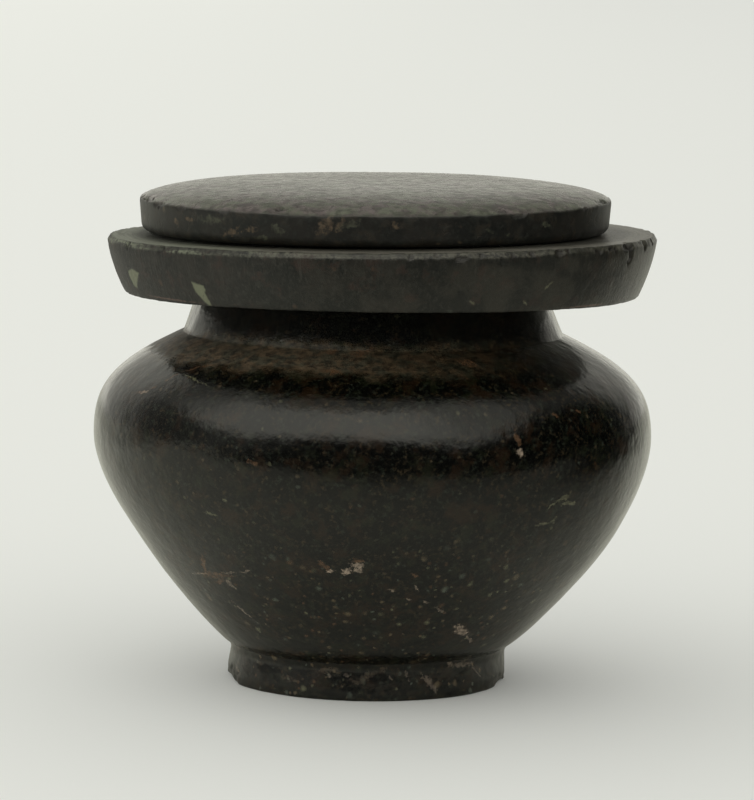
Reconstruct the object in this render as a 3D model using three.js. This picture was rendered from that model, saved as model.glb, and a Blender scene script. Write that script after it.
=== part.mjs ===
// A kohl jar: a squat stone pot for eye paint, with a separate flared rim and a loose domed lid.
// Millimetres, +Z up. The origin is the centre of the foot's flat underside.
import * as THREE from "three";

// Foot: a low disc, a little wider at the ground than at the crease above it
const FOOT_RADIUS = 15.1;
const FOOT_CREASE_RADIUS = 14.6;
const FOOT_HEIGHT = 3.75;
const FOOT_WORN_EDGE = 0.4;

// Belly and shoulder: two curves that meet at the widest ring
const BELLY_RADIUS = 30;
const BELLY_RISE = 23;
const BELLY_START_PULL = 3.9;
const BELLY_START_SLOPE = 27;
const BELLY_END_PULL = 7.8;
const SHOULDER_RISE = 10.8;
const SHOULDER_START_PULL = 4.8;
const SHOULDER_END_PULL = 8.6;
const SHOULDER_END_SLOPE = 25;

// Neck: a short upright ring with a small hollow where it leaves the shoulder
const NECK_RADIUS = 19.7;
const NECK_HEIGHT = 4.3;
const NECK_HOLLOW = 0.8;
const NECK_WALL = 6.7;

// Well: the drilled hole, with a rounded floor
const FLOOR_THICKNESS = 7.35;
const WELL_FILLET = 4;

// Bedding: the gum layer that holds the rim on the neck
const BEDDING_THICKNESS = 0.4;
const BEDDING_SETBACK = 0.5;

// Rim: a flared stone ring, seated a little off the jar's axis
const RIM_RADIUS = 29.45;
const RIM_TAPER = 1.85;
const RIM_BULGE = 0.5;
const RIM_HEIGHT = 5.95;
const RIM_LOWER_ROUND = 0.25;
const RIM_WORN_EDGE = 0.4;
const RIM_OFFSET = 0.87;
const SPIGOT_WALL = 1.8;
const SPIGOT_DEPTH = 2.5;
const MOUTH_BEVEL = 0.5;

// Lid: a domed disc with a low plug below
const LID_RADIUS = 25.2;
const LID_SIDE = 4;
const LID_DOME_RISE = 2.05;
const LID_EDGE_PULL = 3.3;
const LID_EDGE_SLOPE = 32;
const LID_CROWN_PULL = 9.8;
const LID_UPPER_ROUND = 0.4;
const LID_LOWER_ROUND = 0.9;
const PLUG_DEPTH = 2.5;
const PLUG_BEVEL = 0.4;

// Kohl: the dried cake left in the rounded bottom of the well
const KOHL_DISH = 1.6;

// Clearance between curved faces that fit into each other
const FIT_GAP = 0.3;

// Segments round the axis, the longest step along a curve of a profile, and the fewest steps on it
const TURN_STEPS = 64;
const CURVE_STEP = 2;
const FEWEST_CURVE_STEPS = 3;

// Heights of the stack
const BELLY_Z = FOOT_HEIGHT + BELLY_RISE;
const SHOULDER_Z = BELLY_Z + SHOULDER_RISE;
const NECK_Z = SHOULDER_Z + NECK_HEIGHT;
const RIM_Z = NECK_Z + BEDDING_THICKNESS;
const LID_Z = RIM_Z + RIM_HEIGHT;

// Radii of what fits inside what
const WELL_RADIUS = NECK_RADIUS - NECK_WALL;
const SPIGOT_RADIUS = WELL_RADIUS - RIM_OFFSET - FIT_GAP;
const MOUTH_RADIUS = SPIGOT_RADIUS - SPIGOT_WALL;
const PLUG_RADIUS = MOUTH_RADIUS - RIM_OFFSET - FIT_GAP;

const POLISHED_STONE = { color: 0x23231f, roughness: 0.12, metalness: 0 };
const RIM_STONE = { color: 0x5b5647, roughness: 0.5, metalness: 0 };
const LID_STONE = { color: 0x544d45, roughness: 0.7, metalness: 0 };
const GUM = { color: 0x2a1d12, roughness: 0.6, metalness: 0 };
const KOHL_PAINT = { color: 0x121214, roughness: 0.9, metalness: 0 };

const slope = (degrees) => {
  const angle = THREE.MathUtils.degToRad(degrees);
  return new THREE.Vector2(Math.cos(angle), Math.sin(angle));
};

// The corners of a profile: a straight stretch has one step, a curve as many as its length needs.
function profilePoints(profile) {
  const points = [profile.getPoint(0)];
  for (const curve of profile.curves) {
    const wanted = Math.max(FEWEST_CURVE_STEPS, Math.ceil(curve.getLength() / CURVE_STEP));
    const steps = curve.isLineCurve ? 1 : wanted;
    points.push(...curve.getPoints(steps).slice(1));
  }
  return points;
}

// Turns a profile of radius and height about the Z axis.
function turned(name, profile, finish) {
  const geometry = new THREE.LatheGeometry(profilePoints(profile), TURN_STEPS);
  geometry.rotateX(Math.PI / 2);
  const mesh = new THREE.Mesh(geometry, new THREE.MeshStandardMaterial(finish));
  mesh.name = name;
  return mesh;
}

// Foot, belly, shoulder and neck outside, and the well inside.
function makeJarBody() {
  const start = slope(BELLY_START_SLOPE).multiplyScalar(BELLY_START_PULL);
  const end = slope(SHOULDER_END_SLOPE).multiplyScalar(SHOULDER_END_PULL);
  const neckBase = NECK_RADIUS + NECK_HOLLOW;
  const profile = new THREE.Path();
  profile.moveTo(0, 0);
  profile.lineTo(FOOT_RADIUS - FOOT_WORN_EDGE, 0);
  profile.lineTo(FOOT_RADIUS, FOOT_WORN_EDGE);
  profile.lineTo(FOOT_CREASE_RADIUS, FOOT_HEIGHT);
  profile.bezierCurveTo(
    FOOT_CREASE_RADIUS + start.x,
    FOOT_HEIGHT + start.y,
    BELLY_RADIUS,
    BELLY_Z - BELLY_END_PULL,
    BELLY_RADIUS,
    BELLY_Z,
  );
  profile.bezierCurveTo(
    BELLY_RADIUS,
    BELLY_Z + SHOULDER_START_PULL,
    neckBase + end.x,
    SHOULDER_Z - end.y,
    neckBase,
    SHOULDER_Z,
  );
  profile.quadraticCurveTo(NECK_RADIUS, SHOULDER_Z + NECK_HOLLOW, NECK_RADIUS, NECK_Z);
  profile.lineTo(WELL_RADIUS, NECK_Z);
  profile.lineTo(WELL_RADIUS, FLOOR_THICKNESS + WELL_FILLET);
  profile.absarc(
    WELL_RADIUS - WELL_FILLET,
    FLOOR_THICKNESS + WELL_FILLET,
    WELL_FILLET,
    0,
    -Math.PI / 2,
    true,
  );
  profile.lineTo(0, FLOOR_THICKNESS);
  return turned("jar_body", profile, POLISHED_STONE);
}

// A flat ring between the neck's top and the rim, short of the neck's outer face.
function makeRimBedding() {
  const outer = NECK_RADIUS - BEDDING_SETBACK;
  const profile = new THREE.Path();
  profile.moveTo(WELL_RADIUS, 0);
  profile.lineTo(outer, 0);
  profile.lineTo(outer, BEDDING_THICKNESS);
  profile.lineTo(WELL_RADIUS, BEDDING_THICKNESS);
  profile.closePath();
  const mesh = turned("rim_bedding", profile, GUM);
  mesh.position.z = NECK_Z;
  return mesh;
}

// The rim's own frame has its underside at zero; the spigot hangs below it into the well.
function makeRimCollar() {
  const lower = RIM_RADIUS - RIM_TAPER;
  const sideTop = RIM_HEIGHT - RIM_WORN_EDGE;
  const profile = new THREE.Path();
  profile.moveTo(MOUTH_RADIUS, -SPIGOT_DEPTH);
  profile.lineTo(SPIGOT_RADIUS, -SPIGOT_DEPTH);
  profile.lineTo(SPIGOT_RADIUS, 0);
  profile.lineTo(lower - RIM_LOWER_ROUND, 0);
  profile.quadraticCurveTo(lower, 0, lower, RIM_LOWER_ROUND);
  profile.quadraticCurveTo(
    (lower + RIM_RADIUS) / 2 + RIM_BULGE,
    (RIM_LOWER_ROUND + sideTop) / 2,
    RIM_RADIUS,
    sideTop,
  );
  profile.lineTo(RIM_RADIUS - RIM_WORN_EDGE, RIM_HEIGHT);
  profile.lineTo(MOUTH_RADIUS + MOUTH_BEVEL, RIM_HEIGHT);
  profile.lineTo(MOUTH_RADIUS, RIM_HEIGHT - MOUTH_BEVEL);
  profile.closePath();
  const mesh = turned("rim_collar", profile, RIM_STONE);
  mesh.position.set(RIM_OFFSET, 0, RIM_Z);
  return mesh;
}

// The lid's own frame has its flat underside at zero; the plug hangs below it into the mouth.
function makeLid() {
  const shoulder = LID_RADIUS - LID_UPPER_ROUND;
  const top = LID_SIDE + LID_DOME_RISE;
  const edge = slope(LID_EDGE_SLOPE).multiplyScalar(LID_EDGE_PULL);
  const profile = new THREE.Path();
  profile.moveTo(0, -PLUG_DEPTH);
  profile.lineTo(PLUG_RADIUS - PLUG_BEVEL, -PLUG_DEPTH);
  profile.lineTo(PLUG_RADIUS, PLUG_BEVEL - PLUG_DEPTH);
  profile.lineTo(PLUG_RADIUS, 0);
  profile.lineTo(LID_RADIUS - LID_LOWER_ROUND, 0);
  profile.quadraticCurveTo(LID_RADIUS, 0, LID_RADIUS, LID_LOWER_ROUND);
  profile.lineTo(LID_RADIUS, LID_SIDE - LID_UPPER_ROUND);
  profile.quadraticCurveTo(LID_RADIUS, LID_SIDE, shoulder, LID_SIDE);
  profile.bezierCurveTo(shoulder - edge.x, LID_SIDE + edge.y, LID_CROWN_PULL, top, 0, top);
  const mesh = turned("lid", profile, LID_STONE);
  mesh.position.z = LID_Z;
  return mesh;
}

// The cake stands on the well's flat floor and fills the height of its rounded corner.
function makeKohlCake() {
  const foot = WELL_RADIUS - WELL_FILLET;
  const edge = WELL_RADIUS - FIT_GAP;
  const profile = new THREE.Path();
  profile.moveTo(0, 0);
  profile.lineTo(foot, 0);
  profile.lineTo(edge, WELL_FILLET);
  profile.quadraticCurveTo(edge / 2, WELL_FILLET - KOHL_DISH, 0, WELL_FILLET - KOHL_DISH);
  const mesh = turned("kohl_cake", profile, KOHL_PAINT);
  mesh.position.z = FLOOR_THICKNESS;
  return mesh;
}

const kohlJar = new THREE.Group();
kohlJar.add(makeJarBody());
kohlJar.add(makeRimBedding());
kohlJar.add(makeRimCollar());
kohlJar.add(makeLid());
kohlJar.add(makeKohlCake());

export default kohlJar;
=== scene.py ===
import math

import bpy
import numpy as np
from mathutils import Matrix, Vector, noise
from numpy.linalg import norm


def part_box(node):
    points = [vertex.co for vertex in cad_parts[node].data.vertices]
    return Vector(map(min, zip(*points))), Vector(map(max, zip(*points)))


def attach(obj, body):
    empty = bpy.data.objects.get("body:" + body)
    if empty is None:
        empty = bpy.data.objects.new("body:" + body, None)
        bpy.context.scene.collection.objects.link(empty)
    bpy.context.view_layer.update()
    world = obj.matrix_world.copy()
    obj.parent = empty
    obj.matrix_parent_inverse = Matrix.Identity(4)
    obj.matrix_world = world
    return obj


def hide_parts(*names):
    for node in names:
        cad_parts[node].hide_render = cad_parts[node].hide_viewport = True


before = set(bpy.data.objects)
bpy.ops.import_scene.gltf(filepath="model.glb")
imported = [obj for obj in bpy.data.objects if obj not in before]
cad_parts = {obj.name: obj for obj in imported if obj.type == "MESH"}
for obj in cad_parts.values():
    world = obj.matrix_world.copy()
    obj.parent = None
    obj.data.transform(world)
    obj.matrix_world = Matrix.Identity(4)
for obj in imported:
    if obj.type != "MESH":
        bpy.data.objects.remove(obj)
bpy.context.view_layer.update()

# The looks of a squat stone kohl jar: its pot, flared rim, loose domed lid, gum and dried kohl.
# Lengths below are in millimetres. An azimuth is in degrees: 0 faces the camera and 90 is +X.
MM = 0.001


def box_mm(node):
    return [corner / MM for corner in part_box(node)]


# Sizes that come from the frame
_, body_high = box_mm("jar_body")
rim_low, rim_high = box_mm("rim_collar")
lid_low, lid_high = box_mm("lid")
_, bedding_high = box_mm("rim_bedding")
kohl_low, kohl_high = box_mm("kohl_cake")
BELLY_RADIUS = body_high.y
NECK_TOP = body_high.z
RIM_X = (rim_low.x + rim_high.x) / 2
RIM_RADIUS = rim_high.y
RIM_TOP = rim_high.z
RIM_UNDER = bedding_high.z
SPIGOT_FOOT = rim_low.z
LID_TOP = lid_high.z
PLUG_FOOT = lid_low.z
WELL_FLOOR = kohl_low.z
KOHL_EDGE = kohl_high.z
KOHL_RADIUS = kohl_high.y

# Jar body. A pair holds the pull of a curve's handle and its slope in degrees.
FOOT_RADIUS = 15.1
FOOT_CREASE_RADIUS = 14.75
FOOT_HEIGHT = 3.75
FOOT_WORN_EDGE = 0.12
FOOT_CREASE_ROUND = 0.8
BELLY_HEIGHT = 26.75
BELLY_START = (3.82, 33.7)
BELLY_END_PULL = 8.05
SHOULDER_HEIGHT = 37.55
SHOULDER_START_PULL = 4.8
SHOULDER_END = (8.6, 25)
NECK_BASE_RADIUS = 20.5
NECK_TOP_RADIUS = 18.85
NECK_HOLLOW = 0.25
WELL_RADIUS = 13.0
WELL_FILLET = 4.0

# The hand-cut body is not quite true: its lower belly leans to +X, its foot and neck the other way.
LEAN_AT_BELLY = 0.4
LEAN_HEIGHT = 14.85
LEAN_SPREAD = 6.0
LEAN_AT_FOOT = 0.35
LEAN_ABOVE_FOOT = 3.0
LEAN_AT_NECK = 0.18
LEAN_ABOVE_BELLY = 8.0
LEAN_EVERYWHERE = 0.13

# Rim. Its tilts, in degrees, raise the side at +X, and its nod raises the side at the camera.
RIM_TAPER = 1.85
RIM_BULGE = 0.5
RIM_LOWER_ROUND = 0.08
RIM_WORN_WIDTH = 0.3
RIM_WORN_HEIGHT = 0.5
RIM_UNDER_STRIP = 2.0
SPIGOT_RADIUS = 11.83
MOUTH_RADIUS = 10.03
RIM_TOP_TILT = 0.85
RIM_UNDER_TILT = 0.21
RIM_NOD = 0.38
RIM_DROOP = 0.33

# Lid. Its foot nods with the rim, and its top nods the other way.
LID_PROUD = 0.08
LID_RADIUS = lid_high.y + LID_PROUD
LID_SEAT_GAP = 0.2
LID_FOOT = RIM_TOP + LID_SEAT_GAP
LID_SIDE = 4.0
LID_SIDE_TOP = RIM_TOP + LID_SIDE
LID_TAPER = 0.2
LID_UPPER_ROUND = 0.3
LID_LOWER_ROUND = 1.2
LID_EDGE = (3.3, 32)
LID_CROWN_PULL = 10.2
LID_FLATTER = 0.42
LID_CROWN = LID_TOP - LID_FLATTER
PLUG_RADIUS = 8.86
LID_TILT = 0.56
LID_TOP_TILT = 0.43
LID_NOD = 0.5
LID_SHIFT = 0.08
LID_OVERLAP = 1.0
COVERED_RADIUS = LID_RADIUS - LID_OVERLAP

# Bedding and kohl
BEDDING_INSET = 0.5
BEDDING_RADIUS = bedding_high.y - BEDDING_INSET
KOHL_DISH = 1.6

# Spacing of the points along the profiles
COARSE = 1.6
BELLY_SPACING = 0.33
ROUND_SPACING = 0.2
CREASE_SPACING = 0.15
EDGE_SPACING = 0.1
SIDE_SPACING = 0.22
RIM_UNDER_SPACING = 0.4
RIM_TOP_SPACING = 0.3
LID_ROUND_SPACING = 0.14
DOME_SPACING = 0.45
KOHL_SIDE_SPACING = 0.6
KOHL_TOP_SPACING = 0.35

# Steps round the axis
BODY_STEPS = 420
RIM_STEPS = 900
LID_STEPS = 800
BEDDING_STEPS = 240
KOHL_STEPS = 120

# Uneven surfaces, as layers of noise: depth, wavelength, seed and, in some, octaves
BODY_LUMPS = ((0.06, 18, 1), (0.04, 6, 2), (0.012, 2.2, 3))
FOOT_LUMPS = ((0.024, 1.6, 14, 3),)
RIM_LUMPS = ((0.06, 14, 3), (0.02, 1.6, 4))
LID_LUMPS = ((0.06, 11, 5), (0.016, 2, 6))
KOHL_LUMPS = ((0.25, 4, 10, 4), (0.1, 1, 11))
BEDDING_LUMPS = ((0.12, 2.5, 12),)


# Profiles: lists of radius and height

def line(start, end, spacing):
    start, end = np.array(start, float), np.array(end, float)
    count = max(1, math.ceil(norm(end - start) / spacing))
    return start + np.linspace(0, 1, count + 1)[:, None] * (end - start)


def bezier(corners, spacing):
    """A Bezier curve through its first and last corner, with points about spacing apart."""
    corners = np.array(corners, float)
    length = norm(np.diff(corners, axis=0), axis=1).sum()
    t = np.linspace(0, 1, max(3, math.ceil(length / spacing)) + 1)[:, None]
    degree = len(corners) - 1
    return sum(math.comb(degree, i) * t**i * (1 - t)**(degree - i) * c for i, c in enumerate(corners))


def outline(start, *stretches):
    """A profile. A stretch has a spacing, then the end of a line or the other corners of a curve."""
    parts = [[start]]
    for spacing, *corners in stretches:
        run = line(start, corners[0], spacing) if len(corners) == 1 else bezier([start, *corners], spacing)
        parts.append(run[1:])
        start = corners[-1]
    return np.concatenate(parts)


def handle(pull, degrees):
    angle = math.radians(degrees)
    return np.array([pull * math.cos(angle), pull * math.sin(angle)])


# Turned grids: rows follow the profile, columns go round

def azimuths(steps):
    return np.radians(np.arange(steps) * 360 / steps)


def turn(profile, steps):
    angle = azimuths(steps)[None, :]
    radius, height = profile[:, 0:1], profile[:, 1:2]
    return np.stack([radius * np.sin(angle), -radius * np.cos(angle), height + 0 * angle], axis=2)


def outward(profile, steps):
    """The normals of a turned profile that runs up its outer side."""
    slope = np.gradient(profile, axis=0)
    slope /= norm(slope, axis=1)[:, None] + 1e-12
    angle = azimuths(steps)[None, :]
    across, up = slope[:, 1:2], -slope[:, 0:1]
    return np.stack([across * np.sin(angle), -across * np.cos(angle), up + 0 * angle], axis=2)


def waves(points, wavelength, seed, octaves=2):
    """Smooth noise from about -1 to 1 at each point, with features of this wavelength."""
    shifted = points.reshape(-1, 3) / wavelength + np.array([17.3, 5.9, 11.1]) * seed
    values = [noise.fractal(p, 1.0, 2.0, octaves) for p in shifted]
    return np.array(values).reshape(points.shape[:-1])


def lumps(points, layers):
    """The sum of some layers of noise at each point."""
    return sum(depth * waves(points, *pattern) for depth, *pattern in layers)


def smooth(value, low, high):
    t = np.clip((value - low) / (high - low), 0, 1)
    return t * t * (3 - 2 * t)


# Wear: uneven edges and chips

def compass(azimuth):
    """Unit vectors out from the axis and along the turn."""
    angle = math.radians(azimuth)
    return np.array([math.sin(angle), -math.cos(angle), 0]), np.array([math.cos(angle), math.sin(angle), 0])


def sinking(out, lean):
    """The way that worn stone sinks: from inward, with a lean of 0, to downward, with 90."""
    angle = math.radians(lean)
    return -math.cos(angle) * out - math.sin(angle) * np.array([0, 0, 1])


def wear_edges(grid, profile, edges):
    """Sinks turned edges unevenly. An edge has a radius, height, lean, reach, depth, wavelength and seed."""
    for radius, height, lean, reach, depth, wavelength, seed in edges:
        corner = np.array([radius, height])
        weight = smooth(reach - norm(profile - corner, axis=1), 0, reach)[:, None]
        ring = turn(corner[None, :], grid.shape[1])[0]
        uneven = depth * np.clip(0.35 + waves(ring, wavelength, seed, 3), 0, None)
        out = ring * np.array([1, 1, 0]) / radius
        grid += (weight * uneven)[:, :, None] * sinking(out, lean)


def chip(grid, azimuth, radius, height, lean, along, across, depth, steep=0.5):
    """Hollows the grid at a place, and answers how much of each point is chipped."""
    out, tangent = compass(azimuth)
    way = sinking(out, lean)
    third = np.cross(way, tangent)
    offset = grid - (radius * out + np.array([0, 0, height]))
    sizes = (along, across, max(along, across, 2 * depth))
    local = [offset @ axis / size for axis, size in zip((tangent, third, way), sizes)]
    far = np.sqrt(sum(part**2 for part in local))
    near = far < 1.5
    chipped = np.zeros(far.shape)
    if near.any():
        ragged = far[near] * (1 + 0.45 * waves(grid[near], 0.6 * min(along, across) + 0.3, azimuth % 11))
        chipped[near] = smooth(1 - ragged, 0, steep)
        grid += depth * chipped[:, :, None] * way
    return chipped


def mesh_piece(name, grid, closed, **masks):
    """A mesh from a turned grid. A row on the axis becomes one point, and a closed profile joins up."""
    rows, steps = grid.shape[:2]
    on_axis = [np.ptp(row, axis=0).max() < 1e-6 for row in grid]
    kept = [slice(0, 1) if single else slice(None) for single in on_axis]
    first = np.cumsum([0] + [1 if single else steps for single in on_axis])
    length = norm(np.diff(grid[:, 0], axis=0, append=grid[:1, 0]), axis=1)
    share = np.concatenate([[0], np.cumsum(length)])
    share /= share[rows if closed else rows - 1]
    faces, sheet = [], []
    for i in range(rows if closed else rows - 1):
        k = (i + 1) % rows
        for j in range(steps):
            corners = [(i, j, i), (i, j + 1, i), (k, j + 1, i + 1), (k, j, i + 1)]
            if on_axis[i]:
                corners.pop(1)
            elif on_axis[k]:
                corners.pop(3)
            faces.append([first[r] + (0 if on_axis[r] else c % steps) for r, c, _ in corners])
            # Each quarter of the turn lies flat in a corner of the sheet
            quarter = 4 * j // steps
            for _, column, level in corners:
                u, v = 4 * column / steps - quarter, share[level]
                sheet += [(quarter % 2 + 0.01 + 0.98 * u) / 2, (quarter // 2 + 0.01 + 0.98 * v) / 2]
    mesh = bpy.data.meshes.new(name)
    mesh.from_pydata(np.concatenate([row[k] for row, k in zip(grid, kept)]) * MM, [], faces)
    mesh.polygons.foreach_set("use_smooth", [True] * len(faces))
    mesh.uv_layers.new(name="OFBake").uv.foreach_set("vector", sheet)
    for mask, values in masks.items():
        flat = np.concatenate([row[k] for row, k in zip(values, kept)])
        mesh.attributes.new(mask, "FLOAT", "POINT").data.foreach_set("value", flat)
    piece = bpy.data.objects.new(name, mesh)
    bpy.context.scene.collection.objects.link(piece)
    return piece


# Jar body

def body_outside():
    edge = np.array([FOOT_RADIUS, FOOT_WORN_EDGE])
    crease = np.array([FOOT_CREASE_RADIUS, FOOT_HEIGHT])
    below = crease + FOOT_CREASE_ROUND * (edge - crease) / norm(edge - crease)
    above = crease + handle(FOOT_CREASE_ROUND, BELLY_START[1])
    belly_end = (BELLY_RADIUS, BELLY_HEIGHT - BELLY_END_PULL)
    shoulder_start = (BELLY_RADIUS, BELLY_HEIGHT + SHOULDER_START_PULL)
    neck_base = np.array([NECK_BASE_RADIUS, SHOULDER_HEIGHT])
    shoulder_end = neck_base + handle(*SHOULDER_END) * (1, -1)
    hollow = neck_base + handle(NECK_HOLLOW, SHOULDER_END[1]) * (-1, 1)
    return outline(
        (0, 0),
        (COARSE, (FOOT_RADIUS - FOOT_WORN_EDGE, 0)),
        (EDGE_SPACING, edge),
        (ROUND_SPACING, below),
        (CREASE_SPACING, crease, above),
        (BELLY_SPACING, crease + handle(*BELLY_START), belly_end, (BELLY_RADIUS, BELLY_HEIGHT)),
        (BELLY_SPACING, shoulder_start, shoulder_end, neck_base),
        (ROUND_SPACING, hollow, (NECK_TOP_RADIUS, NECK_TOP)),
    )


def body_inside():
    return outline(
        (NECK_TOP_RADIUS, NECK_TOP),
        (COARSE, (WELL_RADIUS, NECK_TOP)),
        (2 * COARSE, (WELL_RADIUS, WELL_FLOOR + WELL_FILLET)),
        (COARSE, (WELL_RADIUS, WELL_FLOOR), (WELL_RADIUS - WELL_FILLET, WELL_FLOOR)),
        (2 * COARSE, (0, WELL_FLOOR)),
    )


def body_lean(height):
    """How far the body's middle is from the axis, towards +X."""
    belly = LEAN_AT_BELLY * np.exp(-((height - LEAN_HEIGHT) / LEAN_SPREAD)**2)
    foot = 1 - smooth(height, 0, FOOT_HEIGHT + LEAN_ABOVE_FOOT)
    neck = smooth(height, BELLY_HEIGHT + LEAN_ABOVE_BELLY, NECK_TOP)
    return LEAN_EVERYWHERE + belly - LEAN_AT_FOOT * foot - LEAN_AT_NECK * neck


FOOT_WEAR = ((FOOT_RADIUS, FOOT_WORN_EDGE, 0, 1.0, 0.12, 3, 4),)
# Worn stretches of the foot's lower edge: azimuth, half length along, depth
FOOT_BEVELS = ((-80, 5, 0.5), (-112, 3, 0.4), (78, 4, 0.4), (100, 3, 0.3), (170, 4, 0.3))
FOOT_BEVEL_HEIGHT = 1.1
FOOT_BEVEL_LEAN = -40


def make_body():
    outside = body_outside()
    height = outside[:, 1]
    grid = turn(outside, BODY_STEPS)
    normal = outward(outside, BODY_STEPS)
    free = smooth(height, 0, 0.5) * (1 - smooth(height, NECK_TOP - 1, NECK_TOP))
    on_foot = 1 - smooth(height, FOOT_HEIGHT - 0.4, FOOT_HEIGHT + 1.2)
    lump = lumps(grid, BODY_LUMPS) + lumps(grid, FOOT_LUMPS) * on_foot[:, None]
    grid += normal * (lump * free[:, None])[:, :, None]
    wear_edges(grid, outside, FOOT_WEAR)
    for azimuth, along, depth in FOOT_BEVELS:
        chip(grid, azimuth, FOOT_RADIUS, 0, FOOT_BEVEL_LEAN, along, FOOT_BEVEL_HEIGHT, depth, steep=1.0)
    grid[:, :, 2] = np.maximum(grid[:, :, 2], 0)
    grid[:, :, 0] += body_lean(grid[:, :, 2])
    whole = np.concatenate([grid, turn(body_inside()[1:], BODY_STEPS)])
    return mesh_piece("polished_jar", whole, False)


# Rim

def rim_profile():
    lower = RIM_RADIUS - RIM_TAPER
    side_top = RIM_TOP - RIM_WORN_HEIGHT
    side_foot = RIM_UNDER + RIM_LOWER_ROUND
    bulge = ((lower + RIM_RADIUS) / 2 + RIM_BULGE, (side_foot + side_top) / 2)
    return outline(
        (MOUTH_RADIUS, SPIGOT_FOOT),
        (COARSE, (SPIGOT_RADIUS, SPIGOT_FOOT)),
        (COARSE, (SPIGOT_RADIUS, RIM_UNDER)),
        (COARSE, (lower - RIM_UNDER_STRIP, RIM_UNDER)),
        (RIM_UNDER_SPACING, (lower - RIM_LOWER_ROUND, RIM_UNDER)),
        (EDGE_SPACING, (lower, side_foot)),
        (SIDE_SPACING, bulge, (RIM_RADIUS, side_top)),
        (CREASE_SPACING, (RIM_RADIUS - RIM_WORN_WIDTH, RIM_TOP)),
        (RIM_TOP_SPACING, (COVERED_RADIUS, RIM_TOP)),
        (COARSE, (MOUTH_RADIUS, RIM_TOP)),
        (COARSE, (MOUTH_RADIUS, SPIGOT_FOOT)),
    )[:-1]


RIM_WEAR = (
    (RIM_RADIUS, RIM_TOP - RIM_WORN_HEIGHT, 30, 0.9, 0.1, 2.5, 5),
    (RIM_RADIUS - RIM_WORN_WIDTH, RIM_TOP, 50, 0.8, 0.08, 1.5, 6),
    (RIM_RADIUS - RIM_TAPER, RIM_UNDER, -45, 0.5, 0.04, 1.5, 7),
)
# Nicks in the rim's upper edge: azimuth, height below the top, half length along, half height, depth
RIM_NICKS = (
    (62, 0.8, 0.5, 1.5, 0.5), (60.5, 0.2, 0.9, 0.45, 0.35), (70, 0.3, 0.45, 0.8, 0.45),
    (76.5, 0.2, 0.3, 0.5, 0.35), (54, 0.3, 0.6, 0.35, 0.3), (49.5, 0.4, 0.8, 0.4, 0.25),
    (38, 0.3, 0.8, 0.3, 0.2), (16, 0.5, 0.9, 0.3, 0.15), (-65, 0.3, 0.5, 0.6, 0.35),
    (-51, 0.3, 0.6, 0.4, 0.3), (131, 0.5, 0.5, 1.0, 0.4), (-172, 0.5, 0.6, 0.8, 0.4),
)
SMALL_NICKS = 90
NICK_SEED = 3
NICK_LEAN = 20


def small_nicks():
    """Small scattered nicks, each with the same five numbers."""
    chance = np.random.default_rng(NICK_SEED)
    lows, highs = (5, 0.0, 0.12, 0.2, 0.06), (285, 0.5, 0.4, 0.6, 0.16)
    return chance.uniform(lows, highs, (SMALL_NICKS, len(lows)))


def rim_masks(profile):
    """Where the profile follows the worn upper edge, and where it follows the flat top."""
    radius, height = profile.T
    side_top = RIM_TOP - RIM_WORN_HEIGHT
    edge = smooth(height, side_top - 0.25, side_top + 0.1)
    face = ((height > RIM_TOP - 0.01) & (radius < RIM_RADIUS - RIM_WORN_WIDTH - 0.1)) * 1.0
    spread = np.ones(RIM_STEPS)
    return edge[:, None] * spread, face[:, None] * spread


def rim_lift(grid, profile):
    """How far each point rises. The rim tilts and nods, and its underside droops at both sides."""
    part = np.clip((grid[:, :, 2] - RIM_UNDER) / (RIM_TOP - RIM_UNDER), 0, 1)
    tilt = RIM_UNDER_TILT + (RIM_TOP_TILT - RIM_UNDER_TILT) * part
    outer = smooth(profile[:, 0:1], COVERED_RADIUS, RIM_RADIUS - RIM_TAPER)
    sideways = np.sin(azimuths(RIM_STEPS))**2 * outer
    nod = grid[:, :, 1] * math.tan(math.radians(RIM_NOD)) * part
    lift = grid[:, :, 0] * np.tan(np.radians(tilt)) - nod
    return lift - RIM_DROOP * sideways * (1 - part)


def make_rim():
    profile = rim_profile()
    grid = turn(profile, RIM_STEPS)
    normal = outward(profile, RIM_STEPS)
    bare = smooth(profile[:, 0], COVERED_RADIUS, LID_RADIUS + 0.5)[:, None]
    grid += normal * (bare * lumps(grid, RIM_LUMPS))[:, :, None]
    chipped = np.zeros(grid.shape[:2])
    wear_edges(grid, profile, RIM_WEAR)
    for azimuth, below, along, half_height, depth in (*RIM_NICKS, *small_nicks()):
        nick = chip(grid, azimuth, RIM_RADIUS, RIM_TOP - below, NICK_LEAN, along, half_height, depth)
        chipped = np.maximum(chipped, nick)
    grid[:, :, 2] += rim_lift(grid, profile)
    grid[:, :, 0] += RIM_X
    edge, face = rim_masks(profile)
    return mesh_piece("flared_rim", grid, True, chip=chipped, edge=edge, face=face)


# Lid

def lid_profile():
    lower = LID_RADIUS - LID_TAPER
    shoulder = LID_RADIUS - LID_UPPER_ROUND
    edge = handle(*LID_EDGE)
    dome_start = (shoulder - edge[0], LID_SIDE_TOP + edge[1])
    return outline(
        (0, PLUG_FOOT),
        (COARSE, (PLUG_RADIUS, PLUG_FOOT)),
        (COARSE, (PLUG_RADIUS, LID_FOOT)),
        (COARSE, (lower - LID_LOWER_ROUND, LID_FOOT)),
        (ROUND_SPACING, (lower, LID_FOOT), (lower, LID_FOOT + LID_LOWER_ROUND)),
        (SIDE_SPACING, (LID_RADIUS, LID_SIDE_TOP - LID_UPPER_ROUND)),
        (LID_ROUND_SPACING, (LID_RADIUS, LID_SIDE_TOP), (shoulder, LID_SIDE_TOP)),
        (DOME_SPACING, dome_start, (LID_CROWN_PULL, LID_CROWN), (0, LID_CROWN)),
    )


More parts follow.
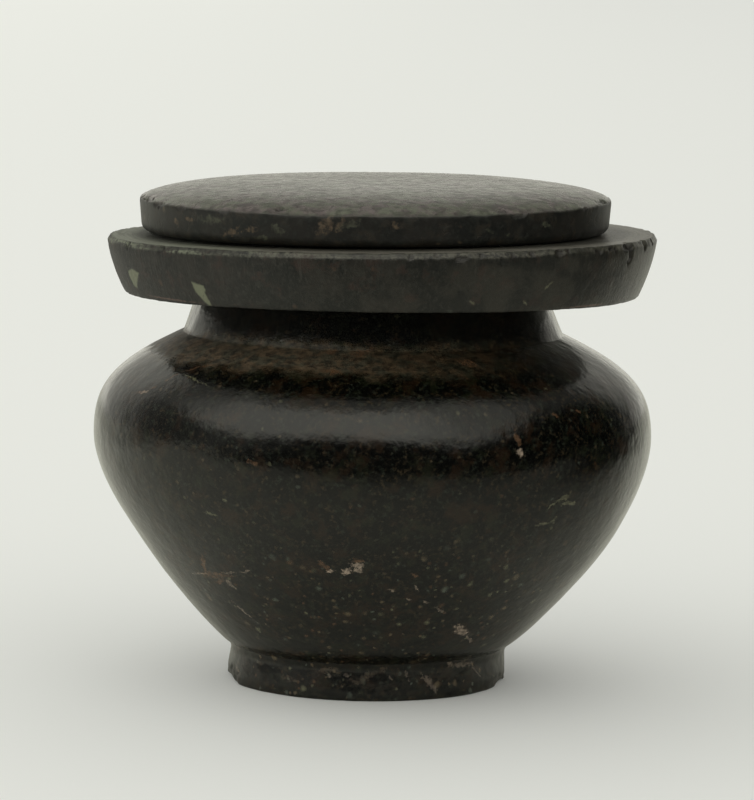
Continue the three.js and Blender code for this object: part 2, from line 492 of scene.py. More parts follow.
LID_WEAR = (
    (LID_RADIUS, LID_SIDE_TOP, 45, 0.8, 0.1, 2.4, 8),
    (LID_RADIUS, LID_SIDE_TOP, 35, 0.5, 0.08, 0.8, 13),
    (LID_RADIUS - LID_TAPER, LID_FOOT, -45, 1.2, 0.15, 3, 9),
)
# Chips in the lid's upper edge: azimuth, distance in from the edge, half length along, half width, depth
LID_CHIPS = (
    (-23.5, 1.0, 1.0, 0.4, 0.3), (-75, 0.5, 2.2, 0.35, 0.3), (-64, 0.1, 1.6, 0.3, 0.25),
    (-53, 0, 1.1, 0.25, 0.2), (-84, 0.2, 0.8, 0.5, 0.35), (74, 0.6, 2.0, 0.4, 0.25),
    (60, 0, 0.5, 0.25, 0.2), (36, 0, 1.2, 0.3, 0.25), (-38, 0, 0.9, 0.25, 0.15),
    (98, 0.2, 1.8, 0.4, 0.35), (127, 0.1, 0.8, 0.5, 0.3), (165, 0.2, 1.6, 0.4, 0.3),
    (-155, 0.1, 0.9, 0.4, 0.3), (-121, 0.3, 1.8, 0.5, 0.35),
)
LID_CHIP_DROP = 0.1
LID_CHIP_LEAN = 55


def make_lid():
    profile = lid_profile()
    height = profile[:, 1]
    grid = turn(profile, LID_STEPS)
    normal = outward(profile, LID_STEPS)
    free = smooth(height, LID_FOOT, LID_FOOT + 1)[:, None]
    grid += normal * (free * lumps(grid, LID_LUMPS))[:, :, None]
    chipped = np.zeros(grid.shape[:2])
    wear_edges(grid, profile, LID_WEAR)
    chip_height = LID_SIDE_TOP - LID_CHIP_DROP
    for azimuth, inwards, along, half_width, depth in LID_CHIPS:
        radius = LID_RADIUS - inwards
        hollow = chip(grid, azimuth, radius, chip_height, LID_CHIP_LEAN, along, half_width, depth)
        chipped = np.maximum(chipped, hollow)
    crown = smooth(height, LID_SIDE_TOP - 0.3, LID_SIDE_TOP + 0.1)[:, None] * np.ones(grid.shape[:2])
    part = np.clip((grid[:, :, 2] - LID_FOOT) / (LID_SIDE_TOP - LID_FOOT), 0, 1)
    nod = RIM_NOD * (1 - part) - LID_NOD * part
    tilt = LID_TILT * (1 - part) + LID_TOP_TILT * part
    grid[:, :, 2] += grid[:, :, 0] * np.tan(np.radians(tilt)) - grid[:, :, 1] * np.tan(np.radians(nod))
    grid[:, :, 0] += LID_SHIFT
    return mesh_piece("domed_lid", grid, False, chip=chipped, crown=crown)


# Kohl and bedding

def make_kohl():
    """The dried cake: a dished, lumpy surface in the rounded bottom of the well."""
    dish = KOHL_EDGE - KOHL_DISH
    profile = outline(
        (0, WELL_FLOOR),
        (COARSE, (WELL_RADIUS - WELL_FILLET, WELL_FLOOR)),
        (KOHL_SIDE_SPACING, (KOHL_RADIUS, KOHL_EDGE)),
        (KOHL_TOP_SPACING, (KOHL_RADIUS / 2, dish), (0, dish)),
    )
    grid = turn(profile, KOHL_STEPS)
    top = np.arange(len(profile)) > np.argmax(profile[:, 0])
    lump = lumps(grid[top], KOHL_LUMPS)
    inset = smooth(KOHL_RADIUS - profile[top, 0], 0, 1.5)[:, None]
    grid[top, :, 2] += (lump - lump[-1, 0]) * inset
    return mesh_piece("dried_kohl", grid, False)


def make_bedding():
    """The gum squeezed out unevenly between the neck and the rim."""
    thick = RIM_UNDER - NECK_TOP
    bulge = (BEDDING_RADIUS + thick / 2, NECK_TOP + thick / 2)
    profile = outline(
        (WELL_RADIUS, NECK_TOP),
        (COARSE, (BEDDING_RADIUS, NECK_TOP)),
        (EDGE_SPACING, bulge, (BEDDING_RADIUS, RIM_UNDER)),
        (COARSE, (WELL_RADIUS, RIM_UNDER)),
        (COARSE, (WELL_RADIUS, NECK_TOP)),
    )[:-1]
    grid = turn(profile, BEDDING_STEPS)
    outer = smooth(profile[:, 0], BEDDING_RADIUS - 1, BEDDING_RADIUS)[:, None]
    bead = lumps(grid, BEDDING_LUMPS) * outer
    grid[:, :, :2] *= (1 + bead / BEDDING_RADIUS)[:, :, None]
    return mesh_piece("gum_bedding", grid, True)


# Shader nodes

def grey(value):
    return (value, value, value)


class Graph:
    """Makes and joins shader nodes. A value may be a socket or a constant."""

    def __init__(self, owner):
        owner.use_nodes = True
        self.owner = owner
        self.nodes, self.links = owner.node_tree.nodes, owner.node_tree.links

    def put(self, socket, value):
        if isinstance(value, bpy.types.NodeSocket):
            self.links.new(value, socket)
        elif socket.type == "RGBA":
            socket.default_value = (*value, 1.0)
        else:
            socket.default_value = value

    def node(self, kind, inputs, output=0, **settings):
        node = self.nodes.new("ShaderNode" + kind)
        for name, value in settings.items():
            setattr(node, name, value)
        for key, value in inputs.items():
            self.put(node.inputs[key], value)
        return node.outputs[output] if len(node.outputs) else None

    def math(self, operation, a, b=0.0):
        return self.node("Math", {0: a, 1: b}, operation=operation)

    def vector(self, operation, a, b):
        return self.node("VectorMath", {0: a, 1: b}, operation=operation)

    def length(self, vector):
        return self.node("VectorMath", {0: vector}, "Value", operation="LENGTH")

    def split(self, vector, axes):
        return [self.node("SeparateXYZ", {0: vector}, axis) for axis in axes]

    def times(self, a, b):
        return self.math("MULTIPLY", a, b)

    def plus(self, a, b, factor):
        """a plus factor times b."""
        return self.math("ADD", a, self.times(b, factor))

    def either(self, *values):
        """The largest of the values."""
        total = values[0]
        for value in values[1:]:
            total = self.math("MAXIMUM", total, value)
        return total

    def fade(self, value, low, high):
        """0 at low and 1 at high, with soft ends."""
        inputs = {"Value": value, "From Min": low, "From Max": high}
        return self.node("MapRange", inputs, interpolation_type="SMOOTHSTEP")

    def blend(self, share, a, b):
        inputs = {"Factor": share, "A": a, "B": b}
        return self.node("Mix", inputs, "Result", data_type="RGBA")

    def tinted(self, colour, tint):
        inputs = {"Factor": 1.0, "A": colour, "B": tint}
        return self.node("Mix", inputs, "Result", data_type="RGBA", blend_type="MULTIPLY")

    def grain(self, at, size, detail=3.0, rough=0.55, shift=None):
        """Noise of this size. A shift gives another pattern of the same kind."""
        if shift is not None:
            at = self.vector("ADD", at, shift)
        inputs = {"Vector": at, "Scale": 1 / size, "Detail": detail, "Roughness": rough}
        return self.node("TexNoise", inputs)

    def ragged(self, at, size, amount, detail=4, rough=0.7):
        """Noise on both sides of zero, to roughen an edge or a level."""
        return self.times(self.math("SUBTRACT", self.grain(at, size, detail, rough), 0.5), amount)

    def jitter(self, at, size, amount):
        """The place moved about by noise."""
        inputs = {"Vector": at, "Scale": 1 / size, "Detail": 2.0}
        shift = self.vector("SUBTRACT", self.node("TexNoise", inputs, "Color"), (0.5, 0.5, 0.5))
        return self.vector("ADD", at, self.vector("MULTIPLY", shift, (amount, amount, amount)))

    def flecks(self, at, size, share, reach):
        """Grains in this share of the cells of this size: their mask, and a random number for each."""
        inputs = {"Vector": at, "Scale": 1 / size}
        far = self.node("TexVoronoi", inputs, "Distance")
        tint = self.node("TexVoronoi", inputs, "Color")
        chance, width, pick = (self.node("SeparateColor", {"Color": tint}, i) for i in range(3))
        edge = self.times(self.math("ADD", width, 0.4), reach)
        inside = self.fade(self.math("SUBTRACT", far, edge), 0.16, -0.12)
        return self.times(inside, self.math("GREATER_THAN", chance, 1 - share)), pick

    def pick_of(self, number, colours):
        """One of the colours, by a number from 0 to 1."""
        colour = colours[0]
        for i, other in enumerate(colours[1:], 1):
            colour = self.blend(self.math("GREATER_THAN", number, i / len(colours)), colour, other)
        return colour

    def mask(self, name):
        return self.node("Attribute", {}, "Fac", attribute_name=name)

    def bump(self, height, distance, normal=None):
        """Relief of this depth in millimetres."""
        inputs = {"Height": height, "Distance": distance * MM}
        if normal is not None:
            inputs["Normal"] = normal
        return self.node("Bump", inputs)

    def marks(self, at, ragged, strokes):
        """A mask of soft egg-shaped marks, each with a middle, three axes and its half sizes."""
        nearest = None
        for middle, axes, sizes in strokes:
            turned = Matrix(axes).transposed().to_euler()
            inputs = {"Vector": at, "Location": middle, "Rotation": turned, "Scale": sizes}
            far = self.length(self.node("Mapping", inputs, vector_type="TEXTURE"))
            nearest = far if nearest is None else self.math("MINIMUM", nearest, far)
        return self.fade(self.math("ADD", nearest, ragged), 1.25, 0.45)

    def shard(self, at, ragged, corners):
        """A mask of an angular patch on an outer side. Its corners go round against the clock."""
        middle = sum(corners) / len(corners)
        out = np.array([middle[0], middle[1], 0]) / np.hypot(middle[0], middle[1])
        planes = [(-out, middle - 3 * out)]
        for i, corner in enumerate(corners):
            normal = np.cross(corner - corners[i - 1], out)
            planes.append((normal / norm(normal), corner))
        past = []
        for normal, corner in planes:
            along = self.node("VectorMath", {0: at, 1: normal}, "Value", operation="DOT_PRODUCT")
            past.append(self.math("SUBTRACT", along, float(normal @ corner)))
        return self.fade(self.math("ADD", self.either(*past), ragged), 0.14, -0.14)


STONE_IOR = 1.55


def new_material(name):
    """The graph of a new material, and the place in millimetres."""
    g = Graph(bpy.data.materials.new(name))
    place = g.node("TexCoord", {}, "Object")
    return g, g.vector("MULTIPLY", place, (1 / MM, 1 / MM, 1 / MM))


def finished(g, colour, roughness, normal):
    """The material of a graph, with its shader joined up."""
    inputs = {"Base Color": colour, "Roughness": roughness, "Normal": normal, "IOR": STONE_IOR}
    for name, value in inputs.items():
        g.put(g.nodes["Principled BSDF"].inputs[name], value)
    return g.owner


# Marks on a side. A side is a profile, and a function that gives its shift towards +X at a height.

def spot_on(profile, shift, azimuth, height):
    """A place on a turned outside that is shifted towards +X."""
    radius = np.interp(height, profile[:, 1], profile[:, 0])
    return radius * compass(azimuth)[0] + np.array([shift(height), 0, height])


MARK_DEPTH = 1.5


def strokes_on(profile, shift, marks):
    """Egg-shaped marks on a turned outside. A mark has the azimuth and height of both ends, and a width."""
    eggs = []
    for azimuth, height, end_azimuth, end_height, width in marks:
        start = spot_on(profile, shift, azimuth, height)
        end = spot_on(profile, shift, end_azimuth, end_height)
        length = norm(end - start)
        along = (end - start) / length
        across = np.cross(compass((azimuth + end_azimuth) / 2)[0], along)
        across /= norm(across)
        sizes = ((length + width) / 2, width / 2, MARK_DEPTH)
        eggs.append(((start + end) / 2, (along, across, np.cross(along, across)), sizes))
    return eggs


def paint_marks(g, colour, at, ragged, broken, side, kinds):
    """Lays marks on a colour. A kind of mark has its strokes, its colour and its strength."""
    for strokes, shade, strength in kinds:
        inside = g.times(g.marks(at, ragged, strokes_on(*side, strokes)), broken)
        colour = g.blend(g.times(inside, strength), colour, shade)
    return colour


# Colours of grains and marks
RUST = (0.085, 0.045, 0.022)
OCHRE = (0.11, 0.082, 0.045)
GREY_GREEN = (0.075, 0.088, 0.065)
CREAM = (0.32, 0.25, 0.185)
OLIVE = (0.12, 0.118, 0.066)
BROWN = (0.085, 0.062, 0.04)
# The pink of a painted highlight along the rim's lower edge
HIGHLIGHT_PINK = (0.16, 0.095, 0.07)
DARK_OLIVE = (0.06, 0.064, 0.034)
BRIGHT_RUST = (0.11, 0.07, 0.032)


# Body stone

BODY_CREAM = (
    (-6.7, 15.35, -5.9, 15.4, 0.7), (-4.4, 16.15, -3.0, 16.1, 0.7), (-4.0, 15.6, -3.2, 15.55, 0.55),
    (-10.6, 15.35, -9.6, 15.4, 0.4), (30.1, 28.15, 30.7, 27.95, 0.7), (27, 8.5, 31.5, 7.6, 0.9),
)
BODY_SCRATCHES = (
    (-53.6, 13.15, -47, 13.55, 0.2), (-39.7, 14.05, -36, 14.25, 0.22), (-34, 14.4, -31.2, 14.65, 0.22),
    (-41.6, 10.35, -37.6, 8.55, 0.28), (-58.5, 32.35, -56, 32.55, 0.3), (-39.8, 13.0, -38.8, 12.5, 0.6),
    (33, 7.2, 37, 6.4, 0.35), (4.0, 13.4, 4.9, 13.2, 0.3), (8.8, 12.3, 9.6, 12.1, 0.25),
    (10.4, 13.6, 11, 13.3, 0.3), (13.4, 12.0, 14.2, 11.75, 0.3), (17.5, 11.1, 20, 10.5, 0.3),
)
BODY_RUST = (
    (-48, 13.45, -39, 13.75, 0.8), (-46.6, 13.75, -45, 15.35, 0.7), (-45, 12.65, -41, 13.15, 0.5),
    (-12.3, 16.4, -11.4, 16.0, 0.5), (-11.4, 15.9, -10.4, 15.5, 0.5), (-4.2, 16.65, -2.8, 16.6, 0.3),
    (29.6, 29.95, 30.2, 28.95, 0.65), (-60.7, 32.15, -57, 32.45, 0.3), (-56, 32.65, -53.7, 33.35, 0.18),
    (-53, 33.75, -50.8, 34.65, 0.2), (-50.8, 34.65, -46.3, 35.35, 0.22),
    (-46.3, 35.35, -42.2, 35.65, 0.18), (-24.3, 26.85, -22.9, 26.65, 0.5),
    (24, 36.65, 26.8, 36.45, 0.9), (-13.5, 37.35, -10.5, 37.5, 0.5), (-4.8, 37.25, -2.4, 37.55, 0.8),
    (-12.5, 35.85, -8, 35.75, 0.45), (9.4, 15.05, 10.3, 14.85, 0.4), (46.8, 31.65, 47.6, 31.55, 0.35),
    (40.2, 31.55, 40.9, 31.35, 0.4),
)
BODY_OLIVE = (
    (41.4, 22.65, 43.6, 22.95, 0.6), (42.5, 22.25, 46.5, 22.05, 0.5), (38.8, 21.95, 41, 22.45, 0.25),
    (36.6, 20.05, 41.2, 20.15, 0.3), (40.8, 20.25, 42, 20.75, 0.3), (-49.5, 34.65, -38.8, 33.75, 0.13),
    (-37, 20.95, -34.5, 20.65, 0.3), (-31.5, 22.55, -30.6, 22.35, 0.3),
)
FOOT_CREAM = (
    (-63, 4.45, -71, 3.45, 0.4), (-70.3, 2.05, -65.4, 1.35, 0.4), (38.8, 3.45, 48, 3.35, 0.65),
    (34.6, 3.65, 37, 3.6, 0.35), (48, 3.05, 54.7, 1.75, 0.25), (24.7, 2.45, 29.2, 1.05, 0.75),
    (-15.6, 2.75, -14.6, 2.55, 0.4), (16.2, 2.95, 17.4, 2.65, 0.5), (17.5, 2.15, 18.1, 2.05, 0.3),
    (9.4, 2.55, 10, 2.35, 0.4), (74, 3.65, 76, 3.35, 0.5), (-8.6, 2.75, -7.6, 2.65, 0.4),
)
FOOT_BROWN = (
    (-20, 2.8, -15.5, 3.35, 0.6), (-15.5, 3.35, -11.6, 3.05, 0.6), (-5.7, 2.15, -0.4, 2.05, 0.8),
    (-1.8, 2.45, 3.2, 3.05, 0.7), (5.5, 3.15, 7.8, 3.55, 0.55), (-74.5, 3.05, -73, 2.55, 0.6),
    (-52.6, 3.1, -49, 2.9, 0.5), (43, 4.25, 46, 3.75, 0.45), (-36, 1.95, -30, 1.75, 0.7),
)
BODY_MARKS = (
    (BODY_RUST, RUST, 0.8),
    (BODY_OLIVE, OLIVE, 0.6),
    (BODY_CREAM, CREAM, 0.75),
    (BODY_SCRATCHES, CREAM, 0.4),
    (FOOT_BROWN, BROWN, 0.38),
    (FOOT_CREAM, CREAM, 0.25),
)

BLACK = (0.0006, 0.0007, 0.0004)
GREEN_GRAIN = (0.013, 0.0165, 0.0105)
BROWN_GRAIN = (0.027, 0.019, 0.0085)
RED_STAIN = (0.015, 0.0075, 0.003)
OLIVE_FILM = (0.009, 0.0105, 0.0045)
FOOT_MOTTLE = (0.034, 0.032, 0.022)
GREY_DUST = (0.06, 0.053, 0.033)
BROWN_DUST = (0.098, 0.068, 0.038)


def body_ground(g, at, grit, tint):
    """Black stone with grey-green and brown grains, red stains and an olive film."""
    cloud = g.grain(at, 5, 5, 0.6)
    grains = g.blend(g.fade(tint, 0.45, 0.57), GREEN_GRAIN, BROWN_GRAIN)
    share = g.times(g.fade(grit, 0.5, 0.68), g.math("ADD", 0.35, cloud))
    colour = g.blend(share, BLACK, grains)
    stain = g.fade(g.grain(at, 2.6, 5, 0.65, shift=(0, 0, 80)), 0.5, 0.64)
    colour = g.blend(g.times(stain, 0.6), colour, RED_STAIN)
    film = g.fade(g.grain(at, 1.8, 4, 0.65, shift=(0, 90, 0)), 0.52, 0.66)
    return g.blend(g.times(film, 0.5), colour, OLIVE_FILM)


def body_flecks(g, colour, at, height, drift):
    """Adds pale and rusty flecks, most of them low on the belly."""
    low = g.fade(g.plus(height, drift, 2.0), BELLY_HEIGHT - 4, BELLY_HEIGHT - 16)
    loose = g.jitter(at, 0.8, 0.5)
    for size, cells, reach, where in ((0.9, 0.25, 0.16, 0.5), (1.6, 0.5, 0.16, low), (0.8, 0.5, 0.17, low)):
        inside, pick = g.flecks(loose, size, cells, reach)
        shade = g.pick_of(pick, (RUST, GREY_GREEN, OCHRE, OLIVE, OCHRE))
        colour = g.blend(g.times(g.times(inside, 0.6), where), colour, shade)
    return colour


def body_dust(g, x, height, drift):
    """A mask of the dusty ring under the neck, strongest towards -X."""
    level = g.plus(height, drift, 0.6)
    foot = g.fade(level, SHOULDER_HEIGHT - 2.6, SHOULDER_HEIGHT - 1.5)
    top = g.fade(level, SHOULDER_HEIGHT + 1.3, SHOULDER_HEIGHT - 0.3)
    leftward = g.math("ADD", x, drift)
    thin = g.times(g.fade(leftward, 20.0, 9.0), 0.3)
    left = g.plus(thin, g.fade(leftward, 16.0, -8.0), 0.7)
    return g.times(g.times(foot, top), left)


def body_stone():
    g, at = new_material("polished stone")
    x, height = g.split(at, "XZ")
    drift = g.ragged(at, 3, 4.0, 5, 0.65)
    grit = g.grain(at, 0.5, 4, 0.7, shift=(30, 0, 0))
    tint = g.grain(at, 1.4, 4, 0.6, shift=(0, 60, 0))
    colour = body_ground(g, at, grit, tint)
    colour = body_flecks(g, colour, at, height, drift)
    # A duller, mottled foot
    foot = g.fade(height, FOOT_HEIGHT + 0.8, FOOT_HEIGHT - 0.4)
    mottle = g.fade(g.grain(at, 0.9, 4, 0.65, shift=(70, 0, 0)), 0.5, 0.64)
    colour = g.blend(g.times(foot, g.times(mottle, 0.15)), colour, FOOT_MOTTLE)
    # Layered dust
    dust = body_dust(g, x, height, drift)
    layered = g.grain(g.vector("MULTIPLY", at, (0.6, 0.6, 1.5)), 0.6, 6, 0.75)
    patchy = g.plus(0.2, g.fade(layered, 0.36, 0.64), 0.8)
    earth = g.blend(g.fade(tint, 0.4, 0.6), GREY_DUST, BROWN_DUST)
    colour = g.blend(g.times(dust, patchy), colour, earth)
    # Painted shade: the neck is darkened where the rim's overhang shadows it
    neck = g.fade(height, SHOULDER_HEIGHT + 0.3, SHOULDER_HEIGHT + 1.6)
    colour = g.blend(g.times(neck, 0.6), colour, BLACK)
    outside = body_outside()
    side = (outside[np.argmax(outside[:, 1] > 0):], body_lean)
    wavy = g.jitter(at, 0.6, 0.55)
    ragged = g.ragged(at, 0.35, 3.2)
    broken = g.plus(0.35, g.fade(grit, 0.36, 0.6), 0.65)
    colour = paint_marks(g, colour, wavy, ragged, broken, side, BODY_MARKS)
    rough = g.either(g.plus(0.12, grit, 0.14), g.times(dust, 0.5), g.times(foot, 0.24))
    normal = g.bump(g.grain(at, 2.4, 2), 0.08)
    normal = g.bump(g.grain(at, 1.0, 2), 0.028, normal)
    normal = g.bump(g.grain(at, 0.45, 3, 0.6), 0.016, normal)
    return finished(g, colour, rough, normal)


# Rim stone

# Pale green patches, by the azimuth and height of their corners
RIM_SHARDS = (
    ((-67.8, 44.65), (-67.9, 43.95), (-67.2, 43.05), (-65.9, 42.95), (-61.8, 44.7), (-64.6, 45)),
    ((-42.9, 44.5), (-42.5, 43.5), (-41.1, 42.75), (-39.5, 43.65), (-39.7, 44.2)),
    ((-41.1, 42.75), (-40.2, 42.15), (-38.9, 42.15), (-39.3, 42.65), (-39.5, 43.65)),
)
RIM_PALE = (
    (18.7, 43.45, 19.3, 43.25, 0.3), (31.2, 43.25, 31.7, 43.05, 0.35), (35.7, 44.55, 36.8, 45.05, 0.3),
)
# Painted highlight: pink-cream lines along the rim's lower edge, where the sharp edge catches the light
RIM_EDGE_HIGHLIGHT = (
    (-62, 42.35, -44, 42.3, 0.2), (44, 42.35, 58, 42.4, 0.2),
)
RIM_MARKS = ((RIM_PALE, OLIVE, 0.45), (RIM_EDGE_HIGHLIGHT, HIGHLIGHT_PINK, 0.45))

RIM_BLACK = (0.0036, 0.0044, 0.0026)
RIM_BROWN = (0.0115, 0.0095, 0.006)
RIM_RED = (0.0225, 0.0115, 0.0068)
RIM_GRIT = (0.018, 0.0172, 0.0125)
RIM_SCRATCH = (0.031, 0.028, 0.021)
RIM_CLOUD = (0.013, 0.0126, 0.0092)
RIM_OLIVE = (0.028, 0.0268, 0.0186)
WORN_BROWN = (0.064, 0.06, 0.043)
WORN_GREEN = (0.14, 0.153, 0.098)
WORN_DARK = (0.028, 0.028, 0.019)
TOP_BROWN = (0.15, 0.14, 0.112)
TOP_GREEN = (0.19, 0.2, 0.145)
TOP_RINGS = (0.6, 0.6, 0.57)
TOP_LID_SHADOW = (0.35, 0.35, 0.33)
RIM_CHIP_DIRT_AND_SHADE = (0.01, 0.008, 0.006)
SHARD_DARK = (0.075, 0.085, 0.048)
SHARD_PALE = (0.15, 0.155, 0.092)


def rim_side():
    """The profile of the rim's outer side."""
    profile = rim_profile()
    start = np.argmax(profile[:, 0] > LID_RADIUS)
    return profile[start:np.argmax(profile[:, 1])]


def rim_ground(g, at, x, cloud, grit, scratch):
    """Grey-brown stone with red-brown patches, grains and upright scratches, paler towards +X."""
    tint = g.grain(at, 2.2, 5, 0.65, shift=(50, 0, 0))
    colour = g.blend(g.fade(cloud, 0.4, 0.62), RIM_BLACK, RIM_BROWN)
    colour = g.blend(g.times(g.fade(tint, 0.52, 0.64), 0.85), colour, RIM_RED)
    colour = g.blend(g.times(g.fade(grit, 0.47, 0.66), 0.7), colour, RIM_GRIT)
    colour = g.blend(g.times(g.fade(scratch, 0.55, 0.7), 0.5), colour, RIM_SCRATCH)
    inside, pick = g.flecks(g.jitter(at, 0.8, 0.5), 1.3, 0.08, 0.17)
    colour = g.blend(g.times(inside, 0.4), colour, g.pick_of(pick, (OCHRE, GREY_GREEN, RUST)))
    paler = g.blend(g.fade(cloud, 0.44, 0.58), RIM_CLOUD, RIM_OLIVE)
    return g.blend(g.times(g.fade(x, -12.0, 20.0), 0.45), colour, paler)


def rim_wear(g, colour, at, cloud, grit):
    """Adds the worn edge and the ringed top: pale green towards -X, brown-grey towards +X, with a painted
    shadow next to the lid.
    """
    x, y = g.split(at, "XY")
    flat = g.vector("MULTIPLY", g.vector("SUBTRACT", at, (RIM_X, 0, 0)), (1, 1, 0))
    radius = g.length(flat)
    round_angle = g.math("ARCTAN2", y, x)
    ring = g.grain(g.node("CombineXYZ", {0: radius, 1: round_angle}), 0.3, 4, 0.6)
    rings = g.fade(ring, 0.38, 0.6)
    green = g.fade(g.plus(x, g.math("SUBTRACT", cloud, 0.5), 20.0), -6.0, -22.0)
    worn = g.blend(rings, WORN_DARK, g.blend(green, WORN_BROWN, WORN_GREEN))
    colour = g.blend(g.times(g.mask("edge"), g.fade(grit, 0.38, 0.58)), colour, worn)
    top = g.blend(green, TOP_BROWN, TOP_GREEN)
    top = g.blend(rings, g.tinted(top, TOP_RINGS), top)
    # Painted shadow of the lid: the top is darker next to the lid
    bare = g.fade(radius, LID_RADIUS + 0.4, LID_RADIUS + 2.4)
    top = g.blend(bare, g.tinted(top, TOP_LID_SHADOW), top)
    return g.blend(g.mask("face"), colour, top)


def rim_stone():
    g, at = new_material("rim stone")
    x, = g.split(at, "X")
    cloud = g.grain(at, 4, 5, 0.6)
    grit = g.grain(at, 0.6, 5, 0.7, shift=(30, 0, 0))
    upright = g.vector("MULTIPLY", g.jitter(at, 4, 1.5), (1, 1, 0.16))
    scratch = g.grain(upright, 0.3, 3, 0.6)
    colour = rim_ground(g, at, x, cloud, grit, scratch)
    colour = rim_wear(g, colour, at, cloud, grit)
    # Dirt and painted shade: the chipped hollows are darkened
    colour = g.blend(g.times(g.mask("chip"), 0.85), colour, RIM_CHIP_DIRT_AND_SHADE)
    side = (rim_side(), lambda height: RIM_X)
    ragged = g.ragged(at, 0.35, 3.0)
    for corners in RIM_SHARDS:
        places = [spot_on(*side, *corner) for corner in corners]
        shard = g.shard(at, g.times(ragged, 0.12), places)
        colour = g.blend(shard, colour, g.blend(grit, SHARD_DARK, SHARD_PALE))
    colour = paint_marks(g, colour, at, ragged, 1.0, side, RIM_MARKS)
    # Rougher towards -X
    rough = g.plus(0.28, g.grain(at, 0.35, 4, 0.65), 0.2)
    rough = g.plus(rough, g.fade(x, -4.0, -22.0), 0.24)
    normal = g.bump(grit, 0.05, g.bump(scratch, 0.04))
    return finished(g, colour, rough, normal)


# Lid stone

LID_RUST = (
    (-12.8, 50.45, -10.2, 51.25, 1.0), (-11, 50.05, -10, 50.65, 0.5), (-8.4, 50.55, -7.2, 51.25, 0.8),
    (-36.6, 49.55, -34.4, 49.85, 0.8), (-31.5, 49.95, -29, 50.15, 0.6),
    (-55.5, 50.25, -54.5, 50.05, 0.7), (4.5, 51.15, 5.3, 50.75, 0.5), (-51, 50.65, -49, 50.45, 0.5),
)
LID_OLIVE = (
    (-44.5, 50.65, -40, 50.85, 0.9), (-8, 50.65, -4, 51.15, 0.7), (-24, 50.35, -22, 49.95, 0.8),
    (27.6, 50.35, 28.6, 50.25, 0.45), (43.8, 50.75, 45.2, 50.65, 0.5), (33, 49.85, 33.5, 49.75, 0.35),
    (-29, 49.15, -26, 49.25, 0.4),
)
LID_MARKS = ((LID_OLIVE, DARK_OLIVE, 0.65), (LID_RUST, BRIGHT_RUST, 0.65))

LID_BLACK = (0.0027, 0.0034, 0.0018)
LID_BROWN = (0.0082, 0.0068, 0.0038)
LID_BLOTCH = (0.0195, 0.0145, 0.0072)
LID_GRIT = (0.015, 0.0165, 0.0115)
DOME_GREEN = (0.107, 0.112, 0.08)
DOME_MAUVE = (0.124, 0.102, 0.094)
DOME_PITS = grey(0.52)
DOME_OLIVE = (0.08, 0.086, 0.058)
DOME_CRACK = (0.03, 0.026, 0.021)
DOME_BACK_HIGHLIGHT = (0.2, 0.196, 0.168)
LID_CHIP = (0.01, 0.009, 0.007)


def lid_wall(g, at, cloud, tint, grit):
    """The lid's side: black stone, blotched brown and green."""
    wall = g.blend(g.fade(cloud, 0.42, 0.62), LID_BLACK, LID_BROWN)
    wall = g.blend(g.times(g.fade(tint, 0.5, 0.66), 0.8), wall, LID_BLOTCH)
    wall = g.blend(g.times(g.fade(grit, 0.48, 0.68), 0.7), wall, LID_GRIT)
    inside, pick = g.flecks(g.jitter(at, 0.8, 0.6), 1.1, 0.12, 0.2)
    return g.blend(g.times(inside, 0.45), wall, g.pick_of(pick, (RUST, OCHRE, GREY_GREEN)))


def lid_dome(g, at, cloud, tint, pitted, crack):
    """The lid's top: grey stone, pitted and cracked, with a painted pale highlight towards the back."""
    dome = g.blend(g.fade(tint, 0.4, 0.6), DOME_GREEN, DOME_MAUVE)
    dome = g.blend(pitted, g.tinted(dome, DOME_PITS), dome)
    dome = g.blend(g.times(g.fade(cloud, 0.48, 0.66), 0.5), dome, DOME_OLIVE)
    dome = g.blend(g.times(crack, 0.6), dome, DOME_CRACK)
    # Painted highlight: the top is paler towards the back, where it catches grazing light
    y, = g.split(at, "Y")
    return g.blend(g.times(g.fade(y, 10.0, 24.0), 0.4), dome, DOME_BACK_HIGHLIGHT)


def lid_stone():
    g, at = new_material("lid stone")
    crown = g.mask("crown")
    cloud = g.grain(at, 4, 5, 0.6)
    tint = g.grain(at, 1.6, 5, 0.65, shift=(50, 0, 0))
    grit = g.grain(at, 0.6, 5, 0.7, shift=(30, 0, 0))
    pitted = g.fade(g.grain(at, 1.0, 3, 0.55, shift=(0, 40, 0)), 0.36, 0.62)
    wander = g.grain(g.jitter(at, 3, 2.0), 2.6, 3, 0.5)
    crack = g.fade(g.math("ABSOLUTE", g.math("SUBTRACT", wander, 0.5)), 0.03, 0.0)
    crack = g.times(crack, g.fade(tint, 0.48, 0.58))
    wall = lid_wall(g, at, cloud, tint, grit)
    colour = g.blend(crown, wall, lid_dome(g, at, cloud, tint, pitted, crack))
    # Dirt and painted shade: the chipped hollows are darkened
    colour = g.blend(g.times(g.mask("chip"), 0.75), colour, LID_CHIP)
    profile = lid_profile()
    side = (profile[profile[:, 0] > LID_RADIUS - 0.5], lambda height: 0)
    wavy = g.jitter(at, 0.8, 0.8)
    ragged = g.ragged(at, 0.4, 3.6)
    broken = g.plus(0.2, g.fade(grit, 0.36, 0.62), 0.8)
    colour = paint_marks(g, colour, wavy, ragged, broken, side, LID_MARKS)
    rough = g.blend(crown, grey(0.48), g.blend(pitted, grey(0.275), grey(0.22)))
    rough = g.plus(rough, tint, 0.06)
    relief = g.math("SUBTRACT", g.grain(at, 1.4, 4, 0.6), g.times(crack, 0.6))
    normal = g.bump(g.grain(at, 0.4, 4, 0.65), 0.006, g.bump(relief, 0.026))
    return finished(g, colour, rough, normal)


# Gum and kohl

